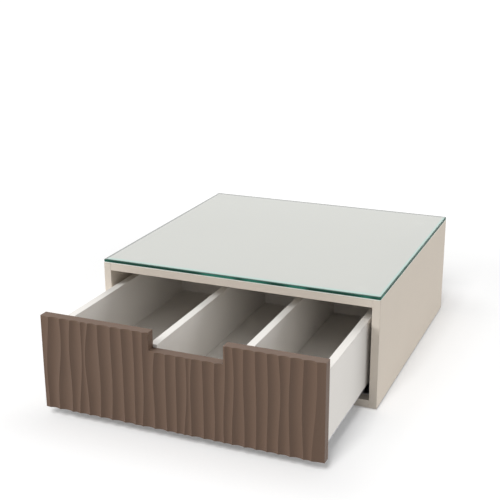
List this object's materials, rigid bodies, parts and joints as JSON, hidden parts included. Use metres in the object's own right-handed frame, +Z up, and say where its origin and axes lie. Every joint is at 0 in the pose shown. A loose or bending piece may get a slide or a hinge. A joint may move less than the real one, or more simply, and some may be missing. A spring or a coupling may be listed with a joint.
{
  "type": "coffee capsule drawer cabinet",
  "caption": "Low box cabinet with a flush glass top and one pull-out drawer, split lengthways into compartments for coffee capsules, behind a carved wave front with a finger notch.",
  "frame": {"origin": "centre of the footprint with the drawer at rest, on the floor", "axes": "+Z up, +Y from the drawer front towards the back panel, +X to the right seen from the front"},
  "size_m": [0.34, 0.48, 0.134],
  "materials": {
    "cashmere_board": "smooth satin coating",
    "brown_board": "matte lacquer over a carved wave face",
    "white_board": "smooth satin coating",
    "hardboard": "coated hardboard",
    "top_glass": "polished, tempered",
    "clear_silicone": "clear, soft",
    "dark_rubber": "matte",
    "zinc_steel": "zinc plated",
    "cage_plastic": "moulded",
    "roller_plastic": "moulded",
    "beech": "bare"
  },
  "bodies": {
    "cabinet": {"left_panel": "cashmere_board", "right_panel": "cashmere_board", "top_panel": "cashmere_board", "bottom_panel": "cashmere_board", "back_panel": "hardboard", "carcass_dowels": "beech", "glass_top": "top_glass", "glass_discs": "clear_silicone", "foot_pads": "dark_rubber", "left_cabinet_rail": "zinc_steel", "right_cabinet_rail": "zinc_steel", "cabinet_rail_screws": "zinc_steel"},
    "drawer": {"drawer_front": "brown_board", "drawer_left_side": "white_board", "drawer_right_side": "white_board", "drawer_back": "white_board", "drawer_bottom": "white_board", "left_divider": "white_board", "right_divider": "white_board", "front_dowels": "beech", "back_dowels": "beech", "back_board_screws": "zinc_steel", "closing_bumpers": "clear_silicone", "left_drawer_rail": "zinc_steel", "right_drawer_rail": "zinc_steel", "drawer_rail_screws": "zinc_steel"},
    "left_middle": {"left_middle_rail": "zinc_steel"},
    "right_middle": {"right_middle_rail": "zinc_steel"},
    "left_lower_roll": {"left_lower_cage": "cage_plastic", "left_lower_rollers": "roller_plastic"},
    "right_lower_roll": {"right_lower_cage": "cage_plastic", "right_lower_rollers": "roller_plastic"},
    "left_upper_roll": {"left_upper_cage": "cage_plastic", "left_upper_rollers": "roller_plastic"},
    "right_upper_roll": {"right_upper_cage": "cage_plastic", "right_upper_rollers": "roller_plastic"}
  },
  "joints": [
    {"name": "drawer_slide", "type": "slide", "parent": "cabinet", "child": "drawer", "axis": [0, -1, 0], "range_m": [-0.15, 0.135]},
    {"name": "left_middle_slide", "type": "slide", "parent": "cabinet", "child": "left_middle", "axis": [0, -1, 0], "range_m": [-0.075, 0.0675]},
    {"name": "right_middle_slide", "type": "slide", "parent": "cabinet", "child": "right_middle", "axis": [0, -1, 0], "range_m": [-0.075, 0.0675]},
    {"name": "left_lower_roll_slide", "type": "slide", "parent": "cabinet", "child": "left_lower_roll", "axis": [0, -1, 0], "range_m": [-0.0375, 0.03375]},
    {"name": "right_lower_roll_slide", "type": "slide", "parent": "cabinet", "child": "right_lower_roll", "axis": [0, -1, 0], "range_m": [-0.0375, 0.03375]},
    {"name": "left_upper_roll_slide", "type": "slide", "parent": "cabinet", "child": "left_upper_roll", "axis": [0, -1, 0], "range_m": [-0.1125, 0.10125]},
    {"name": "right_upper_roll_slide", "type": "slide", "parent": "cabinet", "child": "right_upper_roll", "axis": [0, -1, 0], "range_m": [-0.1125, 0.10125]}
  ],
  "couplings": [
    {"joint": "left_middle_slide", "follows": "drawer_slide", "ratio": 0.5},
    {"joint": "right_middle_slide", "follows": "drawer_slide", "ratio": 0.5},
    {"joint": "left_lower_roll_slide", "follows": "drawer_slide", "ratio": 0.25},
    {"joint": "right_lower_roll_slide", "follows": "drawer_slide", "ratio": 0.25},
    {"joint": "left_upper_roll_slide", "follows": "drawer_slide", "ratio": 0.75},
    {"joint": "right_upper_roll_slide", "follows": "drawer_slide", "ratio": 0.75}
  ]
}
